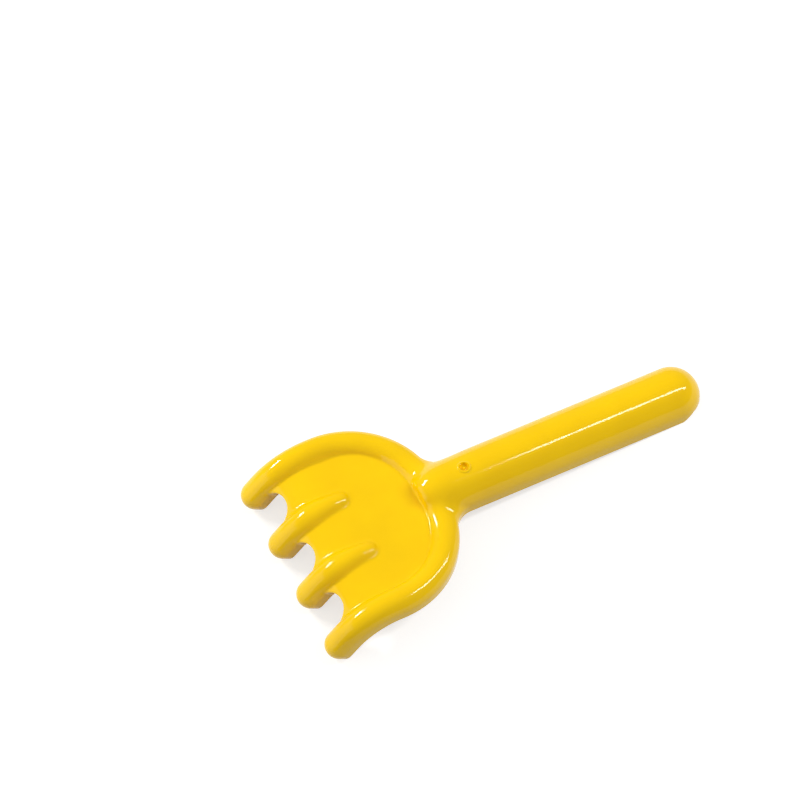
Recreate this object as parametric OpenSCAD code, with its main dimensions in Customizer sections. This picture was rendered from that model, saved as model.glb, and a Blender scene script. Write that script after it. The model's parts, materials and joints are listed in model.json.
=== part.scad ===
// Toy sand rake: an open-backed plastic moulding with a round-topped handle,
// a dished pan inside a rounded rim, and four fingers that bend down to the sand.
// It is drawn flat, with the pan's back half level, then laid down on its tips.

/* [Handle] */
// Radius of the handle's round crown
handle_r = 13; // [11:0.5:15]
// Distance from the pan's centre line to the centre of the handle's round end
handle_reach = 155.5; // [120:0.5:180]
// Depth of every straight side below the centre of its round crown
skirt = 3.5; // [2:0.5:5]
// Wall thickness of the moulding
wall = 2; // [1.6:0.1:2.4]
// Length over which the lower edge rises at the handle's round end
end_rise = 5.5; // [3:0.5:8]

/* [Head] */
// Radius of the rim's two round corners, along its crown
rim_path_r = 36; // [30:0.5:42]
// Half the straight length across the back of the rim
rim_chord_half = 6; // [4:0.5:9]
// Radius of the rounded bead that makes the rim and the tines
bead_r = 6.5; // [5.5:0.1:7.5]
// Height of the pan's upper face above the centre of the bead
pan_top = 2.4; // [2.2:0.1:3]

/* [Tines] */
// Distance ahead of the pan's centre line where the head starts to bend down
bend_start = 2; // [1:0.5:8]
// Radius of the bend at the centre of the bead
bend_r = 30; // [24:0.5:40]
// Angle through which the tines bend down
bend_angle = 51; // [40:1:60]
// Straight length of a tine after its bend
tine_straight = 5.5; // [2:0.5:12]
// Length of bend over which a tine is free of the webs
tine_free = 2.5; // [1:0.5:6]
// How far the radius of a round notch exceeds half the gap between two tines
notch_flare = 0.4; // [0.2:0.1:1.5]
// Length of an inner tine's back between its round end and the bend
ridge_run = 1; // [0.5:0.5:4]

/* [Neck] */
// Radius of the round in which the handle's crown falls to its front
crown_fall_r = 16; // [14:0.5:20]
// Height of the crown's upright front above the middle of the rim
crown_front_h = 8; // [7.5:0.1:9]
// Radius of the hollow corners between the handle and the rim
neck_fillet_r = 10; // [6:0.5:14]
// Radius of the rounded upper edge along the hollow corners
corner_r = 5.5; // [4:0.1:6]
// How far the infill behind that edge lies below the top of its round
corner_flat = 0.4; // [0.2:0.1:1]
// Distance of the moulding gate's dimple behind the hollow corners
gate_back = 2.5; // [0:0.5:6]
// Distance from the gate back to where the plain handle starts
seam_back = 8.5; // [5:0.5:15]
// Radius of the gate's dimple
gate_r = 2; // [1.5:0.1:2.5]
// Depth of the gate's dimple
gate_depth = 1; // [0.6:0.1:1.2]
// Radius of the gate's broken-off stub
gate_stub_r = 0.7; // [0.5:0.1:1]
// Height of the gate's broken-off stub
gate_stub_h = 0.5; // [0.3:0.1:0.8]
// Outer radius of the raised ring round the dimple
gate_ring_r = 2.9; // [2.6:0.1:3.4]
// Height of the raised ring above the crown
gate_ring_h = 0.3; // [0.2:0.1:0.5]

/* [Hidden] */
$fn = 96;
// How far a cutting solid runs past the face that it cuts
overrun = 1;
// How far a hollow runs into the next hollow so that they join
merge = 0.5;
// How far a hollow corner bites into the rim and the handle so that they cross
nip = 0.05;
// How far a cut along the bend runs past its end, in degrees
over_angle = 2;
// The pan's lower face
pan_low = pan_top - wall;
// Radius of the pan inside the rim
pan_r = rim_path_r - bead_r;
// Path of the outer tines
outer_y = rim_chord_half + rim_path_r;
// Path of the inner tines, so that all gaps are alike
tine_y = outer_y / 3;
// Centre of a neck corner and the direction in which it meets the rim
fillet_y = handle_r + neck_fillet_r - nip;
fillet_rise = fillet_y - rim_chord_half;
fillet_x = sqrt(pow(rim_path_r + bead_r + neck_fillet_r - nip, 2) - pow(fillet_rise, 2));
neck_angle = atan2(fillet_rise, fillet_x);
// How far the round of the crown's front rises past the crown so that they cross
crown_lift = 0.2;
// The crown's upright front, just behind the pan's edge, and the centre of its round
crown_foot = pan_r + 2 * pan_low;
crown_fall = handle_r + crown_lift - crown_front_h;
crown_x = crown_foot + sqrt(2 * crown_fall_r * crown_fall - pow(crown_fall, 2));
// Gate's dimple and the seam of neck and handle
gate_x = fillet_x + gate_back;
neck_seam = gate_x + seam_back;
// Half the gap between two tines, and the round notch that ends its web
notch_half = tine_y - bead_r;
notch_r = notch_half + notch_flare;
web_reach = notch_r - sqrt(pow(notch_r, 2) - pow(notch_half, 2));
// Where along the bend the webs end beside the tines, and the root of a notch
web_angle = bend_angle - tine_free / bend_r * 180 / PI;
notch_angle = web_angle - web_reach / (bend_r + pan_top) * 180 / PI;
// Centre of an inner tine's round back end
ridge_x = ridge_run - bend_start;
// Lowest corner of a tine's tip and of the handle, before the rake is laid down
tip_x = -bend_start - bend_r * sin(bend_angle) - tine_straight * cos(bend_angle);
tip_z = -bend_r * (1 - cos(bend_angle)) - tine_straight * sin(bend_angle);
foot_x = tip_x - bead_r * cos(bend_angle) + skirt * sin(bend_angle);
foot_z = tip_z - bead_r * sin(bend_angle) - skirt * cos(bend_angle);
// Tilt at which both rest on one floor, and the shift to the middle of the base
tilt = atan2(-skirt - foot_z, handle_reach - foot_x);
base_z = -foot_x * sin(tilt) + foot_z * cos(tilt);
far_x = handle_reach * cos(tilt) + handle_r;
near_x = tip_x * cos(tilt) + tip_z * sin(tilt) - bead_r;
mid_x = (far_x + near_x) / 2;

// Lays the rake down on its tine tips and the end of its handle
module lay_down() {
    translate([-mid_x, 0, -base_z]) rotate([0, tilt, 0]) children();
}

// Upper half of a round
module half_round(r) {
    intersection() {
        circle(r);
        translate([-r, 0]) square([2 * r, r]);
    }
}

// Round-topped channel with two straight sides
module channel_2d(r) {
    difference() {
        union() {
            half_round(r);
            translate([-r, -skirt]) square([2 * r, skirt]);
        }
        half_round(r - wall);
        translate([wall - r, -skirt - overrun]) square([2 * (r - wall), skirt + overrun]);
    }
}

// Bead that rises out of the pan on both sides
module ridge_2d() {
    difference() {
        union() {
            intersection() {
                circle(bead_r);
                translate([-bead_r, pan_low]) square([2 * bead_r, bead_r]);
            }
            translate([-bead_r, pan_low]) square([2 * bead_r, wall]);
        }
        circle(bead_r - wall);
    }
}

// Bead with the pan on its inner side and a straight side outwards
module rim_2d() {
    difference() {
        union() {
            half_round(bead_r);
            translate([0, -skirt]) square([bead_r, skirt]);
            translate([-bead_r, pan_low]) square([bead_r, wall]);
        }
        half_round(bead_r - wall);
        translate([wall - bead_r, -skirt - overrun])
            square([2 * (bead_r - wall), skirt + overrun]);
        translate([-bead_r - overrun, -skirt - overrun])
            square([bead_r + overrun, skirt + overrun + pan_low]);
    }
}

// Outer half of a section, for turning into a round end
module right_half() {
    intersection() {
        children();
        translate([0, -2 * handle_r]) square([2 * handle_r, 4 * handle_r]);
    }
}

// Runs a section forward from x = 0, with its right side to the left of the rake
module run(l) {
    translate([-l, 0, 0]) rotate([90, 0, 90]) linear_extrude(height = l) children();
}

// Turns a section down along the bend, from one angle to another
module bend(from, to) {
    translate([-bend_start, 0, -bend_r]) rotate([90, -90, 0]) rotate([0, 0, from])
        rotate_extrude(angle = to - from)
            translate([bend_r, 0]) rotate(-90) children();
}

// Moves a piece to a place on the bend
module on_bend(a) {
    translate([-bend_start, 0, -bend_r]) rotate([0, -a, 0])
        translate([0, 0, bend_r]) children();
}

// Turns a section back up the bend from the end of the bend
module bend_back(from, to) {
    translate([0, 0, -bend_r]) rotate([-90, -90, 0]) rotate([0, 0, from])
        rotate_extrude(angle = to - from)
            translate([bend_r, 0]) rotate(-90) children();
}

// A tine from its round tip back to the level part of the head, as one channel.
// Beside the webs it loses the straight sides that the given width takes away.
module tine() {
    on_bend(bend_angle) difference() {
        union() {
            translate([-tine_straight, 0, 0]) rotate([0, 0, 90])
                rotate_extrude(angle = 180) right_half() channel_2d(bead_r);
            run(tine_straight) channel_2d(bead_r);
            bend_back(0, bend_angle) channel_2d(bead_r);
        }
        bend_back(bend_angle - web_angle, bend_angle + over_angle) children();
    }
}

// Space below the pan's lower face, on the right-hand side and on both sides
module under_right() {
    translate([0, -skirt - overrun]) square([bead_r + overrun, skirt + overrun + pan_low]);
}

module under_both() {
    translate([-bead_r - overrun, -skirt - overrun])
        square([2 * (bead_r + overrun), skirt + overrun + pan_low]);
}

module outer_tine() {
    translate([0, outer_y, 0]) tine() under_right();
}

module inner_tine() {
    translate([0, tine_y, 0]) tine() under_both();
}

module handle_shell() {
    color([1, 0.82, 0]) lay_down()
        translate([handle_reach, 0, 0]) run(handle_reach - neck_seam) channel_2d(handle_r);
}

module handle_end() {
    color([1, 0.82, 0]) lay_down() difference() {
        translate([handle_reach, 0, 0]) rotate([0, 0, -90])
            rotate_extrude(angle = 180) right_half() channel_2d(handle_r);
        // the lower edge rises and leaves the round end without a skirt
        translate([handle_reach, handle_r + overrun, 0]) rotate([90, 0, 0])
            linear_extrude(height = 2 * (handle_r + overrun))
                polygon([[0, -skirt], [end_rise, 0], [handle_r + overrun, 0],
                         [handle_r + overrun, -skirt - overrun], [0, -skirt - overrun]]);
    }
}

// Front of the handle's crown, which falls in a round to an upright front, with straight
// sides below. The space below it takes a smaller radius, and is spread past the ends.
module crown_front(r, depth, spread) {
    difference() {
        translate([neck_seam + spread, 0, 0]) {
            run(neck_seam + spread - crown_foot - handle_r + r) half_round(r);
            run(neck_seam + 2 * spread - fillet_x + corner_r / 2)
                translate([-r, -depth]) square([2 * r, depth]);
        }
        difference() {
            translate([crown_foot - overrun, -r - overrun, 0])
                cube([crown_x - crown_foot + overrun, 2 * (r + overrun), r + overrun]);
            translate([crown_x, r + 2 * overrun, handle_r + crown_lift - crown_fall_r])
                rotate([90, 0, 0])
                    cylinder(r = crown_fall_r + r - handle_r, h = 2 * (r + 2 * overrun));
        }
    }
}

// Bead across the back of the rim, run on a little past the neck's ends
module neck_bead(r) {
    translate([rim_path_r, rim_chord_half, 0]) rotate([90, 0, 0])
        linear_extrude(height = 2 * rim_chord_half) half_round(r);
    for (side = [0, 1]) mirror([0, side, 0])
        translate([0, rim_chord_half, 0]) rotate_extrude(angle = neck_angle + over_angle)
            translate([rim_path_r, 0]) half_round(r);
}

// Narrow shelf where the neck meets the pan
module neck_shelf() {
    translate([pan_r, -rim_chord_half, pan_low]) cube([wall, 2 * rim_chord_half, wall]);
    for (side = [0, 1]) mirror([0, side, 0])
        translate([0, rim_chord_half, 0]) rotate_extrude(angle = neck_angle + over_angle)
            translate([pan_r, pan_low]) square([wall, wall]);
}

// Infill of the hollow corner between the handle and the rim. A round cutter, turned
// about the corner's centre, gives it its upright side and its rounded upper edge.
// The inset is zero for the outside and the wall for the space below.
module neck_corner(inset, depth, spread) {
    past = neck_angle + over_angle + spread;
    top = corner_r - inset;
    difference() {
        translate([0, 0, -depth]) linear_extrude(height = depth + top - corner_flat)
            polygon([[(rim_path_r - spread) * cos(past),
                      rim_chord_half + (rim_path_r - spread) * sin(past)],
                     [fillet_x - merge + spread, fillet_y],
                     [fillet_x - merge + spread, handle_r / 2 - spread],
                     [rim_path_r - spread, handle_r / 2 - spread]]);
        translate([fillet_x, fillet_y, 0]) rotate_extrude() difference() {
            translate([0, -depth - overrun])
                square([neck_fillet_r + corner_r, depth + corner_r + 2 * overrun]);
            translate([neck_fillet_r + corner_r, 0]) circle(top);
            translate([neck_fillet_r + inset, -depth - 2 * overrun])
                square([top + overrun, depth + 2 * overrun]);
        }
    }
}

// Everything past the seam of neck and rim
module past_neck() {
    translate([0, rim_chord_half, 0]) rotate([0, 0, neck_angle])
        translate([0, 0, -skirt - overrun])
            cube([rim_path_r + bead_r + overrun, bead_r, skirt + bead_r + 2 * overrun]);
}

module neck() {
    color([1, 0.82, 0]) lay_down() {
        difference() {
            union() {
                neck_bead(bead_r);
                neck_shelf();
                for (side = [0, 1]) mirror([0, side, 0]) neck_corner(0, skirt, 0);
                crown_front(handle_r, skirt, 0);
                translate([gate_x, 0, 0]) cylinder(r = gate_ring_r, h = handle_r + gate_ring_h);
            }
            neck_bead(bead_r - wall);
            for (side = [0, 1]) mirror([0, side, 0]) {
                neck_corner(wall, skirt + overrun, merge);
                past_neck();
            }
            crown_front(handle_r - wall, skirt + overrun, merge);
            // round dimple with the stub of the gate in its middle
            translate([gate_x, 0, handle_r - gate_depth]) difference() {
                cylinder(r = gate_r, h = gate_depth + overrun);
                translate([0, 0, -overrun])
                    cylinder(r = gate_stub_r, h = gate_stub_h + overrun);
            }
        }
    }
}

// One side of the rim, from the neck round to the start of the bend
module rim_half() {
    translate([0, rim_chord_half, 0]) rotate([0, 0, 90]) mirror([0, 1, 0])
        rotate_extrude(angle = 90 - neck_angle) translate([rim_path_r, 0]) rim_2d();
    translate([0, outer_y, 0]) run(bend_start) rim_2d();
}

module rim_left() {
    color([1, 0.82, 0]) lay_down() rim_half();
}

module rim_right() {
    color([1, 0.82, 0]) lay_down() mirror([0, 1, 0]) rim_half();
}

// Level outline of the pan inside the rim, without the inner tines
module pan_2d() {
    difference() {
        union() {
            intersection() {
                union() {
                    translate([0, rim_chord_half]) circle(pan_r);
                    translate([0, -rim_chord_half]) circle(pan_r);
                    translate([0, -rim_chord_half]) square([pan_r, 2 * rim_chord_half]);
                }
                translate([0, -outer_y]) square([rim_path_r, 2 * outer_y]);
            }
            translate([-bend_start, bead_r - outer_y])
                square([bend_start, 2 * (outer_y - bead_r)]);
        }
        for (y = [-tine_y, tine_y]) translate([ridge_x, y]) {
            circle(bead_r - wall);
            translate([-ridge_run - overrun, wall - bead_r])
                square([ridge_run + overrun, 2 * (bead_r - wall)]);
        }
    }
}

// Rounded root of an inner tine, standing out of the pan
module ridge_root() {
    translate([ridge_x, 0, 0]) {
        rotate([0, 0, -90]) rotate_extrude(angle = 180) right_half() ridge_2d();
        run(ridge_run) ridge_2d();
    }
}

module pan() {
    color([1, 0.82, 0]) lay_down() {
        translate([0, 0, pan_low]) linear_extrude(height = wall) pan_2d();
        for (y = [-tine_y, tine_y]) translate([0, y, 0]) ridge_root();
    }
}

// A web follows the bend between two tines and ends in a round notch
module web(y) {
    color([1, 0.82, 0]) lay_down() difference() {
        bend(0, web_angle) translate([y - tine_y, pan_low]) square([2 * tine_y, wall]);
        for (side = [-tine_y, tine_y]) bend(-over_angle, web_angle + over_angle)
            translate([y + side, 0]) circle(bead_r);
        on_bend(notch_angle) translate([-notch_r, y, -bead_r]) {
            cylinder(r = notch_r, h = 2 * bead_r);
            translate([-notch_r, -notch_r, 0]) cube([notch_r, 2 * notch_r, 2 * bead_r]);
        }
    }
}

module web_1() {
    web(2 * tine_y);
}

module web_2() {
    web(0);
}

module web_3() {
    web(-2 * tine_y);
}

module tine_1() {
    color([1, 0.82, 0]) lay_down() outer_tine();
}

module tine_2() {
    color([1, 0.82, 0]) lay_down() inner_tine();
}

module tine_3() {
    color([1, 0.82, 0]) lay_down() mirror([0, 1, 0]) inner_tine();
}

module tine_4() {
    color([1, 0.82, 0]) lay_down() mirror([0, 1, 0]) outer_tine();
}

handle_shell();
handle_end();
neck();
rim_left();
rim_right();
pan();
web_1();
web_2();
web_3();
tine_1();
tine_2();
tine_3();
tine_4();
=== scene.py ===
import json
import math

import bmesh
import bpy
import numpy as np
from mathutils import Matrix, Vector

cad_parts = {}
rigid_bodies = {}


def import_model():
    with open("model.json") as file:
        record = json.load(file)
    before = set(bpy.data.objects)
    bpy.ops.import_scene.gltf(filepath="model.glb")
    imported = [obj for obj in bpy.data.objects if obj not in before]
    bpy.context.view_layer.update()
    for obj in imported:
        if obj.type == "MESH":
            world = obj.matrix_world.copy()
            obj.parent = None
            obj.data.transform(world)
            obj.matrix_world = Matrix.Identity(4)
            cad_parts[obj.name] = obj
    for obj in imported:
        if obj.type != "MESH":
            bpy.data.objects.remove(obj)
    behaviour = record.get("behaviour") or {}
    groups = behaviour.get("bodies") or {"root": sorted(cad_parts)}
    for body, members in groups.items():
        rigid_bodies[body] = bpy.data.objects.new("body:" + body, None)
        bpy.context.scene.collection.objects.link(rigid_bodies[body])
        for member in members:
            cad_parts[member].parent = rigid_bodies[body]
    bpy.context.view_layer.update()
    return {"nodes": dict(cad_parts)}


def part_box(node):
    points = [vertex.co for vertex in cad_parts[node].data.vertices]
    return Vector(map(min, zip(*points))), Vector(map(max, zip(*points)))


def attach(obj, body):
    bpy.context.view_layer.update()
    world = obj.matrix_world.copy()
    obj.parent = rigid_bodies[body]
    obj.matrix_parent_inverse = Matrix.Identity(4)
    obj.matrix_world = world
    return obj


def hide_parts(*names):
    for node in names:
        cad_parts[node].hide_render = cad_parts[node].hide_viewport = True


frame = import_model()

# Rim and outer tines. On the real rake they are one half-round bead of moulded plastic with a
# straight skirt below it. It runs up one outer tine, round the back of the head and down the other.
# All the moulding is drawn flat first, in millimetres, with the tines not yet bent down.
bead_r = 6.5
rim_path_r = 36
rim_chord_half = 6
skirt = 3.5
spare_depth = 4
fill_depth = skirt + spare_depth
bend_start = 2
bend_r = 30
bend_angle = math.radians(51)
tine_straight = 5.5
outer_tine_y = rim_path_r + rim_chord_half
tip_x = -(bend_start + bend_r * bend_angle + tine_straight)
round_points = 96
rim_steps = 60
merge_gap = 0.001
moulding_forms = []


def push(step):
    """Draws the picked faces or edges out by a step."""
    bpy.ops.mesh.extrude_region_move(TRANSFORM_OT_translate={"value": step})


def close_form():
    """Welds a form's doubled points, turns its faces outward and leaves edit mode."""
    bpy.ops.mesh.select_all(action="SELECT")
    bpy.ops.mesh.remove_doubles(threshold=merge_gap)
    bpy.ops.mesh.normals_make_consistent(inside=False)
    bpy.ops.object.mode_set(mode="OBJECT")


def half_round_section(name, radius, place):
    """A half-round face with a square foot below it, across the X axis, left in edit mode."""
    bpy.ops.object.select_all(action="DESELECT")
    bpy.ops.mesh.primitive_circle_add(vertices=round_points, radius=radius, fill_type="NGON",
                                      location=place, rotation=(math.pi / 2, 0, math.pi / 2))
    section = bpy.context.object
    section.name = name
    bpy.ops.object.transform_apply(location=True, rotation=True, scale=True)
    bpy.ops.object.mode_set(mode="EDIT")
    bpy.ops.mesh.select_all(action="SELECT")
    bpy.ops.mesh.bisect(plane_co=place, plane_no=(0, 0, 1), clear_inner=True)
    push((0, 0, -fill_depth))
    bpy.ops.mesh.select_all(action="SELECT")
    moulding_forms.append(section)


def dome(name, radius, place):
    """A round end: a half ball on a round foot."""
    bpy.ops.object.select_all(action="DESELECT")
    bpy.ops.mesh.primitive_uv_sphere_add(segments=round_points, ring_count=round_points // 2,
                                         radius=radius, location=place)
    ball = bpy.context.object
    ball.name = name
    bpy.ops.object.transform_apply(location=True, rotation=True, scale=True)
    bpy.ops.object.mode_set(mode="EDIT")
    bpy.ops.mesh.select_all(action="SELECT")
    bpy.ops.mesh.bisect(plane_co=place, plane_no=(0, 0, 1), clear_inner=True)
    push((0, 0, -fill_depth))
    bpy.ops.mesh.edge_face_add()
    close_form()
    moulding_forms.append(ball)


half_round_section("rim_form", bead_r, (tip_x, outer_tine_y, 0))
push((-tip_x, 0, 0))
bpy.ops.mesh.spin(steps=rim_steps, angle=math.pi / 2, center=(0, rim_chord_half, 0), axis=(0, 0, 1))
push((0, -2 * rim_chord_half, 0))
bpy.ops.mesh.spin(steps=rim_steps, angle=math.pi / 2, center=(0, -rim_chord_half, 0), axis=(0, 0, 1))
push((tip_x, 0, 0))
close_form()
for side in (1, -1):
    dome("outer_tip_form", bead_r, (tip_x, side * outer_tine_y, 0))

# Inner tines. Each is a half-round bead that rises out of the pan with a blunt round back, a
# little narrower and lower there, and runs on to the same round tip as the outer tines.
inner_tine_y = outer_tine_y / 3
ridge_x = -1.2
ridge_taper_x = -16
ridge_back_scale = 0.74
for side in (1, -1):
    tine_y = side * inner_tine_y
    half_round_section("inner_tine_form", bead_r, (tip_x, tine_y, 0))
    push((ridge_taper_x - tip_x, 0, 0))
    push((ridge_x - ridge_taper_x, 0, 0))
    bpy.ops.transform.resize(value=(1, ridge_back_scale, ridge_back_scale),
                             center_override=(ridge_x, tine_y, 0))
    close_form()
    dome("inner_tip_form", bead_r, (tip_x, tine_y, 0))
    dome("inner_back_form", bead_r * ridge_back_scale, (ridge_x, tine_y, 0))

# Pan and webs. The pan is a flat floor a little above the middle of the bead. Between the tines
# it follows the bend as three webs, and each web ends in a round notch, cut here as a post.
pan_top = 2.4
tine_free = 2.5
notch_half = inner_tine_y - bead_r
notch_ease = 0.4
notch_r = notch_half + notch_ease
web_reach = notch_r - math.sqrt(notch_r ** 2 - notch_half ** 2)
flatten = bend_r / (bend_r + pan_top)
web_x = tip_x + tine_straight + tine_free
notch_x = web_x + (web_reach - notch_r) * flatten


def slab(name, low, high):
    """A block between two corners."""
    low, high = Vector(low), Vector(high)
    bpy.ops.object.select_all(action="DESELECT")
    bpy.ops.mesh.primitive_cube_add(size=1, location=(low + high) / 2)
    block = bpy.context.object
    block.name = name
    block.scale = high - low
    bpy.ops.object.transform_apply(location=True, rotation=True, scale=True)
    moulding_forms.append(block)
    return block


def post(name, radius, low_z, high_z, place):
    """An upright round post."""
    bpy.ops.object.select_all(action="DESELECT")
    bpy.ops.mesh.primitive_cylinder_add(vertices=2 * round_points, radius=radius, depth=high_z - low_z,
                                        location=(*place, (low_z + high_z) / 2))
    column = bpy.context.object
    column.name = name
    bpy.ops.object.transform_apply(location=True, rotation=True, scale=True)
    return column


def cut_away(form, cutter):
    """Cuts one form out of another, and uses it up."""
    bpy.context.view_layer.objects.active = form
    cut = form.modifiers.new("cut", "BOOLEAN")
    cut.operation = "DIFFERENCE"
    cut.object = cutter
    cut.solver = "EXACT"
    bpy.ops.object.modifier_apply(modifier=cut.name)
    bpy.data.objects.remove(cutter)


webs = slab("web_form", (web_x, -outer_tine_y, -fill_depth), (0, outer_tine_y, pan_top))
for notch_y in (-2 * inner_tine_y, 0, 2 * inner_tine_y):
    notch = post("notch", notch_r, -2 * fill_depth, 2 * pan_top, (0, 0))
    notch.scale.x = flatten
    notch.location = (notch_x, notch_y, 0)
    bpy.context.view_layer.update()
    cut_away(webs, notch)
slab("pan_middle_form", (0, -rim_chord_half, -fill_depth), (rim_path_r, rim_chord_half, pan_top))
for side in (1, -1):
    round_pan = post("pan_form", rim_path_r, -fill_depth, pan_top, (0, side * rim_chord_half))
    bpy.ops.object.mode_set(mode="EDIT")
    bpy.ops.mesh.select_all(action="SELECT")
    bpy.ops.mesh.bisect(plane_co=(-bend_start, 0, 0), plane_no=(1, 0, 0), clear_inner=True, use_fill=True)
    close_form()
    moulding_forms.append(round_pan)

# Handle. A half-round hollow grip with straight sides. Its free end is round, and its crown falls
# in a round to an upright front at the pan's edge.
handle_r = 13
handle_reach = 155.5
nose_length = 16
crown_front_h = 8
crown_setback = 0.8
crown_foot = rim_path_r - bead_r + crown_setback
nose_x = crown_foot + nose_length * math.sqrt(1 - (crown_front_h / handle_r) ** 2)
half_round_section("handle_form", handle_r, (nose_x, 0, 0))
push((handle_reach - nose_x, 0, 0))
close_form()
dome("handle_end_form", handle_r, (handle_reach, 0, 0))
dome("nose_form", handle_r, (nose_x, 0, 0))
bpy.ops.object.mode_set(mode="EDIT")
bpy.ops.mesh.select_all(action="SELECT")
bpy.ops.transform.resize(value=(nose_length / handle_r, 1, 1), center_override=(nose_x, 0, 0))
bpy.ops.mesh.bisect(plane_co=(crown_foot, 0, 0), plane_no=(1, 0, 0), clear_inner=True, use_fill=True)
close_form()

# Neck corners. Where the handle's sides meet the rim, two hollow corners blend the one into the
# other. Each is a low round bead swept about the middle of the hollow.
neck_fillet_r = 10
corner_r = 5.5
corner_steps = 40
fillet_y = handle_r + neck_fillet_r
rim_out_r = rim_path_r + bead_r
fillet_x = math.sqrt((rim_out_r + neck_fillet_r) ** 2 - (fillet_y - rim_chord_half) ** 2)
neck_angle = math.atan2(fillet_y - rim_chord_half, fillet_x)
for side in (1, -1):
    corner_y = side * (fillet_y - neck_fillet_r - corner_r)
    half_round_section("corner_form", corner_r, (fillet_x, corner_y, 0))
    bpy.ops.mesh.spin(steps=corner_steps, angle=side * (math.pi / 2 - neck_angle),
                      center=(fillet_x, side * fillet_y, 0), axis=(0, 0, 1))
    close_form()

# The moulding's skin. All forms become one skin, whose inner corners are softened as a mould's
# are, most of all on the neck. The foot is then cut level, and rises at the handle's end.
grain = 0.45
smooth_factor = 0.5
corner_softness = 8
ridge_softness = 22
neck_softness = 400
least_weight = 0.01
end_rise = 5.5


def soften(piece, steps, group=""):
    """Evens a piece's points out, step by step."""
    smooth = piece.modifiers.new("soften", "SMOOTH")
    smooth.factor = smooth_factor
    smooth.iterations = steps
    smooth.vertex_group = group
    bpy.ops.object.modifier_apply(modifier=smooth.name)


def soften_part(piece, name, weights, steps):
    """Softens a piece only where its points have a weight."""
    group = piece.vertex_groups.new(name=name)
    for index in np.flatnonzero(weights > least_weight):
        group.add([int(index)], float(weights[index]), "REPLACE")
    soften(piece, steps, name)


def points(piece):
    """A piece's points, one row each."""
    flat = np.empty(len(piece.data.vertices) * 3)
    piece.data.vertices.foreach_get("co", flat)
    return flat.reshape(-1, 3)


def fade(values, start, end):
    """Rises smoothly from 0 at start to 1 at end."""
    t = np.clip((values - start) / (end - start), 0, 1)
    return t * t * (3 - 2 * t)


def everywhere(middle):
    """Wants each face, wherever its middle lies."""
    return True


def pick_faces(piece, wanted):
    """Selects, in edit mode, the faces whose middle is wanted."""
    bpy.ops.mesh.select_mode(type="FACE")
    bpy.ops.mesh.select_all(action="DESELECT")
    mesh = bmesh.from_edit_mesh(piece.data)
    for face in mesh.faces:
        face.select_set(wanted(face.calc_center_median()))
    bmesh.update_edit_mesh(piece.data)


def trim(piece, place, keep_side, wanted, cut_off=True):
    """Cuts the wanted faces along a plane, and drops what lies behind it if it is to be cut off."""
    pick_faces(piece, wanted)
    if cut_off:
        bpy.ops.mesh.split()
    bpy.ops.mesh.bisect(plane_co=place, plane_no=Vector(keep_side).normalized(), clear_inner=cut_off)
    bpy.ops.mesh.select_all(action="SELECT")
    bpy.ops.mesh.remove_doubles(threshold=merge_gap)


bpy.ops.object.select_all(action="DESELECT")
for form in moulding_forms:
    form.select_set(True)
skin = moulding_forms[0]
bpy.context.view_layer.objects.active = skin
bpy.ops.object.join()
skin.name = "rake_head"
fuse = skin.modifiers.new("fuse", "REMESH")
fuse.mode = "VOXEL"
fuse.voxel_size = grain
bpy.ops.object.modifier_apply(modifier=fuse.name)
soften(skin, corner_softness)

neck_front_x, neck_back_x = (29, 34), (48, 60)
neck_side_y, neck_low_z = (20, 30), (3, 6)
crest_y, crest_share = (3, 9), 0.25
ridge_front_x, ridge_back_x = (-24, -8), (9, 14)
ridge_side_y, ridge_low_z = (22, 26), (1, 2)
skin_x, skin_y, skin_z = points(skin).T
off_crest = crest_share + (1 - crest_share) * fade(abs(skin_y), *crest_y)
neck_weight = (fade(skin_x, *neck_front_x) * (1 - fade(skin_x, *neck_back_x))
               * (1 - fade(abs(skin_y), *neck_side_y)) * fade(skin_z, *neck_low_z) * off_crest)
soften_part(skin, "neck", neck_weight, neck_softness)
ridge_weight = (fade(skin_x, *ridge_front_x) * (1 - fade(skin_x, *ridge_back_x))
                * (1 - fade(abs(skin_y), *ridge_side_y)) * fade(skin_z, *ridge_low_z))
soften_part(skin, "ridges", ridge_weight, ridge_softness)

bpy.ops.object.mode_set(mode="EDIT")
trim(skin, (0, 0, -skirt), (0, 0, 1), everywhere)
trim(skin, (handle_reach, 0, 0), (1, 0, 0), everywhere, cut_off=False)
trim(skin, (handle_reach + end_rise, 0, 0), (1, 0, 0), everywhere, cut_off=False)
trim(skin, (handle_reach, 0, -skirt), (-skirt, 0, end_rise),
     lambda middle: handle_reach < middle.x < handle_reach + end_rise)
trim(skin, (0, 0, 0), (0, 0, 1), lambda middle: middle.x > handle_reach + end_rise)

# Seams. The skin is parted along the seams of the solid model into the head, the handle, its
# round end and the four tines. Below the webs it is cut to the web's own thickness, and round the
# gate's mark, where the plastic ran into the mould, it gets finer faces.
wall = 2
gate_setback = 2.5
gate_x = fillet_x + gate_setback
seam_setback = 8.5
neck_seam = gate_x + seam_setback
gate_ring_r = 3.1
gate_margin = 1
gate_cuts = 3
tine_margin = 0.3
tine_half = bead_r + tine_margin
tine_ys = [outer_tine_y, inner_tine_y, -inner_tine_y, -outer_tine_y]


def past_pan(middle):
    """Tells whether a face lies past the pan's front edge, where the bend begins."""
    return middle.x < -bend_start


def on_tine(middle, tine_y):
    """Tells whether a face belongs to the tine at this place across the rake."""
    return past_pan(middle) and abs(middle.y - tine_y) < tine_half


def on_web(middle):
    """Tells whether a face belongs to a web between the tines."""
    return past_pan(middle) and not any(on_tine(middle, tine_y) for tine_y in tine_ys)


def by_gate(middle):
    """Tells whether a face of the crown lies at the gate's mark."""
    return middle.z > bead_r and math.hypot(middle.x - gate_x, middle.y) < gate_ring_r + gate_margin


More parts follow.
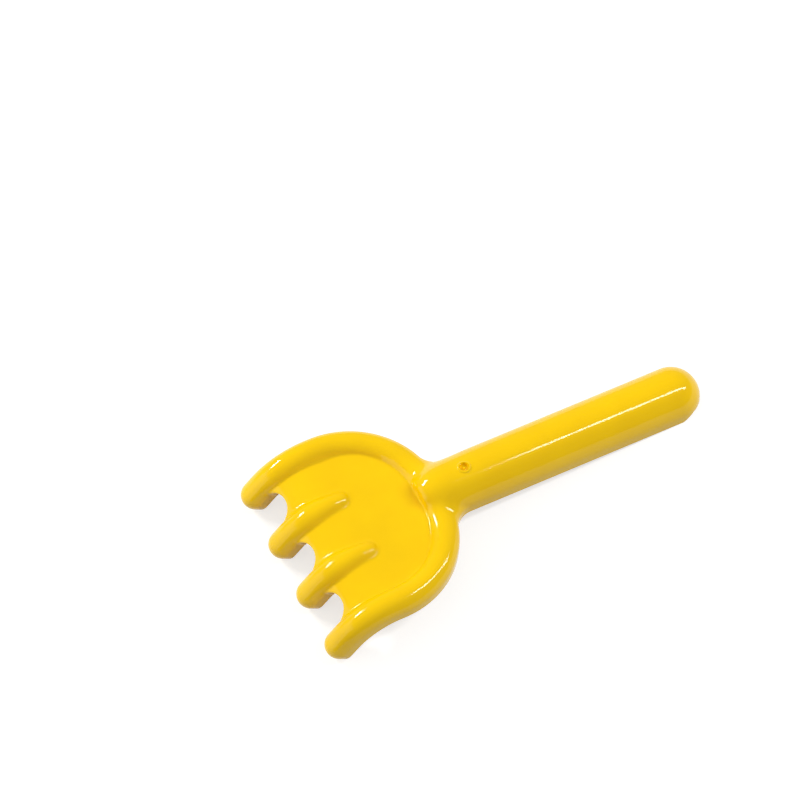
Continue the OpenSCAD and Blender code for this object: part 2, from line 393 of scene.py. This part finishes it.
def part_off(name, wanted):
    """Parts the wanted faces off the skin as a piece of their own."""
    pick_faces(skin, wanted)
    known = set(bpy.data.objects)
    bpy.ops.mesh.separate(type="SELECTED")
    piece = (set(bpy.data.objects) - known).pop()
    piece.name = name
    return piece


trim(skin, (neck_seam, 0, 0), (1, 0, 0), everywhere, cut_off=False)
trim(skin, (-bend_start, 0, 0), (1, 0, 0), everywhere, cut_off=False)
for tine_y in tine_ys:
    for flank in (-tine_half, tine_half):
        trim(skin, (0, tine_y + flank, 0), (0, 1, 0), past_pan, cut_off=False)
trim(skin, (0, 0, pan_top - wall), (0, 0, 1), on_web)
pick_faces(skin, by_gate)
bpy.ops.mesh.subdivide(number_cuts=gate_cuts)
tines = [part_off("rake_tine_%d" % number, lambda middle, y=tine_y: on_tine(middle, y))
         for number, tine_y in enumerate(tine_ys, 1)]
handle_end = part_off("rake_handle_end", lambda middle: middle.x > handle_reach)
handle = part_off("rake_handle", lambda middle: middle.x > neck_seam)
bpy.ops.object.mode_set(mode="OBJECT")
rake_pieces = [skin, handle, handle_end, *tines]

# Walls, gate, bend and place. Each piece gets its wall inward, the gate's dimple is pressed into
# the crown, the tines are bent down, and the rake is laid on its tine tips and its handle's lip.
gate_r = 2
gate_depth = 1.2
gate_stub_r = 0.7
gate_stub_h = 0.5
gate_ring_h = 0.4
gate_edge = 0.2
turn_x = bend_r * math.sin(bend_angle) + bend_start
turn_z = bend_r * (1 - math.cos(bend_angle))
tip_mid_x = -turn_x - tine_straight * math.cos(bend_angle)
tip_mid_z = -turn_z - tine_straight * math.sin(bend_angle)
foot_x = tip_mid_x - bead_r * math.cos(bend_angle) + skirt * math.sin(bend_angle)
foot_z = tip_mid_z - bead_r * math.sin(bend_angle) - skirt * math.cos(bend_angle)
tilt = math.atan2(-skirt - foot_z, handle_reach - foot_x)
base_z = -foot_x * math.sin(tilt) + foot_z * math.cos(tilt)
far_x = handle_reach * math.cos(tilt) + handle_r
near_x = tip_mid_x * math.cos(tilt) + tip_mid_z * math.sin(tilt) - bead_r
mid_x = (far_x + near_x) / 2
mm_per_m = 1000
smooth_angle = math.radians(50)


def gate_profile(distance):
    """Height of the gate's mark above the crown, by the distance from its middle."""
    stub = gate_stub_h * (1 - fade(distance, gate_stub_r - gate_edge, gate_stub_r + gate_edge))
    dimple = (gate_depth + gate_ring_h) * (1 - fade(distance, gate_r - gate_edge, gate_r + gate_edge))
    ring = gate_ring_h * (1 - fade(distance, gate_ring_r - 2 * gate_edge, gate_ring_r + gate_edge))
    return ring - dimple + stub


def bend_and_lay(flat):
    """Bends flat points down past the pan, tilts the rake to rest and turns it to metres."""
    x, y, z = flat.T
    run = np.maximum(-bend_start - x, 0)
    angle = np.minimum(run / bend_r, bend_angle)
    past = run - bend_r * angle
    reach = bend_r + z
    bent_x = np.where(run > 0, -bend_start - reach * np.sin(angle) - past * np.cos(angle), x)
    bent_z = np.where(run > 0, reach * np.cos(angle) - bend_r - past * np.sin(angle), z)
    laid_x = bent_x * math.cos(tilt) + bent_z * math.sin(tilt) - mid_x
    laid_z = -bent_x * math.sin(tilt) + bent_z * math.cos(tilt) - base_z
    return np.stack([laid_x, y, laid_z], axis=1) / mm_per_m


for piece in rake_pieces:
    bpy.ops.object.select_all(action="DESELECT")
    piece.select_set(True)
    bpy.context.view_layer.objects.active = piece
    thicken = piece.modifiers.new("wall", "SOLIDIFY")
    thicken.thickness = wall
    thicken.offset = -1
    bpy.ops.object.modifier_apply(modifier=thicken.name)
    shape = points(piece)
    on_crown = shape[:, 2] > handle_r - wall / 2
    gate_distance = np.hypot(shape[:, 0] - gate_x, shape[:, 1])
    shape[:, 2] += np.where(on_crown, gate_profile(gate_distance), 0)
    piece.data.vertices.foreach_set("co", bend_and_lay(shape).ravel())
    piece.data.update()
    bpy.ops.object.shade_smooth_by_angle(angle=smooth_angle)
    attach(piece, "root")
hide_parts("neck", "rim_left", "rim_right", "pan", "web_1", "web_2", "web_3")
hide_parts("handle_shell")
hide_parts("handle_end")
for tine, tine_y in zip(tines, tine_ys):
    nearest = min((name for name in frame["nodes"] if name.startswith("tine_")),
                  key=lambda name: abs(sum(c.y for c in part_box(name)) / 2 - tine_y / mm_per_m))
    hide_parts(nearest)

# The plastic. Glossy yellow, coloured all through, with the faint cloudiness and the slight
# changes of gloss of a moulded toy.
plastic = bpy.data.materials.new("yellow_plastic")
plastic.use_nodes = True
nodes, links = plastic.node_tree.nodes, plastic.node_tree.links
surface = nodes["Principled BSDF"]
surface.inputs["IOR"].default_value = 1.5
surface.inputs["Specular IOR Level"].default_value = 0.3
place = nodes.new("ShaderNodeTexCoord")


def noise(scale, detail):
    """A cloudy pattern that is fixed to the piece."""
    pattern = nodes.new("ShaderNodeTexNoise")
    pattern.inputs["Scale"].default_value = scale
    pattern.inputs["Detail"].default_value = detail
    links.new(place.outputs["Object"], pattern.inputs["Vector"])
    return pattern.outputs["Fac"]


tint = nodes.new("ShaderNodeValToRGB")
deep, pale = tint.color_ramp.elements
deep.position = 0.3
deep.color = (0.92, 0.57, 0, 1)
pale.position = 0.7
pale.color = (0.96, 0.61, 0, 1)
links.new(noise(scale=60, detail=4), tint.inputs["Fac"])
links.new(tint.outputs["Color"], surface.inputs["Base Color"])
gloss = nodes.new("ShaderNodeMapRange")
gloss.inputs["To Min"].default_value = 0.06
gloss.inputs["To Max"].default_value = 0.11
links.new(noise(scale=140, detail=3), gloss.inputs["Value"])
links.new(gloss.outputs["Result"], surface.inputs["Roughness"])
ripple = nodes.new("ShaderNodeBump")
ripple.inputs["Strength"].default_value = 0.12
ripple.inputs["Distance"].default_value = 0.0001
links.new(noise(scale=420, detail=2), ripple.inputs["Height"])
links.new(ripple.outputs["Normal"], surface.inputs["Normal"])
for piece in rake_pieces:
    piece.data.materials.clear()
    piece.data.materials.append(plastic)

# Floor and light. A plain white floor in a white room. A small bright lamp stands behind the tines
# on the far left, a long strip hangs over the right side, and a big soft lamp fills in at the left.
white = (1, 1, 1, 1)
floor_size = 8
floor_grey = 0.48
floor_lift = 0.67
room_strength = 0.35
lamp_distance = 1.2
bpy.ops.object.select_all(action="DESELECT")
bpy.ops.mesh.primitive_plane_add(size=floor_size)
floor = bpy.context.object
floor.name = "floor"
paper = bpy.data.materials.new("white_paper")
paper.use_nodes = True
paper_nodes, paper_links = paper.node_tree.nodes, paper.node_tree.links
paper_surface = paper_nodes["Principled BSDF"]
paper_surface.inputs["Base Color"].default_value = (floor_grey, floor_grey, floor_grey, 1)
paper_surface.inputs["Roughness"].default_value = 1
paper_surface.inputs["Specular IOR Level"].default_value = 0
paper_surface.inputs["Emission Color"].default_value = white
rays = paper_nodes.new("ShaderNodeLightPath")
seen = rays.outputs["Is Camera Ray"]
for ray in ("Is Glossy Ray", "Is Transmission Ray"):
    either = paper_nodes.new("ShaderNodeMath")
    either.operation = "MAXIMUM"
    paper_links.new(seen, either.inputs[0])
    paper_links.new(rays.outputs[ray], either.inputs[1])
    seen = either.outputs[0]
lift = paper_nodes.new("ShaderNodeMath")
lift.operation = "MULTIPLY"
lift.inputs[1].default_value = floor_lift
paper_links.new(seen, lift.inputs[0])
paper_links.new(lift.outputs[0], paper_surface.inputs["Emission Strength"])
floor.data.materials.append(paper)

world = bpy.data.worlds.new("room")
bpy.context.scene.world = world
world.use_nodes = True
room = world.node_tree.nodes["Background"]
room.inputs["Color"].default_value = white
room.inputs["Strength"].default_value = room_strength


def lamp(name, direction, long_side, length, width, brightness):
    """An area lamp aimed at the rake. Its long side lies along the given direction."""
    toward = Vector(direction).normalized()
    bpy.ops.object.light_add(type="AREA")
    light = bpy.context.object
    light.name = name
    light.data.shape = "RECTANGLE"
    light.data.size = length
    light.data.size_y = width
    light.data.energy = brightness * math.pi * length * width
    side = (Vector(long_side) - toward * toward.dot(Vector(long_side))).normalized()
    turn = Matrix((side, toward.cross(side), toward)).transposed().to_4x4()
    light.matrix_world = Matrix.Translation(toward * lamp_distance) @ turn


lamp("key", direction=(-0.49, 0.65, 0.58), long_side=(1, 0.6, 0),
     length=0.34, width=0.12, brightness=58)
lamp("strip", direction=(0.65, -0.24, 0.71), long_side=(0.76, 0.1, -0.62),
     length=0.85, width=0.12, brightness=25)
lamp("left_fill", direction=(-0.95, 0.15, 0.3), long_side=(0, 1, 0),
     length=1.4, width=0.9, brightness=1.1)

# Camera. It stands where the photograph was taken from: high above the rake's near long side, a
# little toward the tines. The rake lies right of the picture's middle and below it.
frame_px = 800
cam_azimuth, cam_elevation, cam_roll = (math.radians(degrees) for degrees in (-19.45, 60.28, -8.14))
cam_focal_px = 5427
cam_distance = 2.387
aim = Vector((0, 0, 0.012))
aim_px_x, aim_px_y = 490.8, 471.3
back = Vector((math.sin(cam_azimuth) * math.cos(cam_elevation),
               -math.cos(cam_azimuth) * math.cos(cam_elevation), math.sin(cam_elevation)))
level = Vector((math.cos(cam_azimuth), math.sin(cam_azimuth), 0))
rise = back.cross(level)
right = math.cos(cam_roll) * level + math.sin(cam_roll) * rise
up = math.cos(cam_roll) * rise - math.sin(cam_roll) * level
metres_per_px = cam_distance / cam_focal_px
eye = (aim + back * cam_distance - (aim_px_x - frame_px / 2) * metres_per_px * right
       + (aim_px_y - frame_px / 2) * metres_per_px * up)
camera = bpy.data.objects.new("camera", bpy.data.cameras.new("camera"))
bpy.context.scene.collection.objects.link(camera)
camera.data.sensor_width = 36
camera.data.lens = cam_focal_px * camera.data.sensor_width / frame_px
camera.matrix_world = Matrix.Translation(eye) @ Matrix((right, up, back)).transposed().to_4x4()
bpy.context.scene.camera = camera
bpy.context.scene.view_settings.view_transform = "Standard"
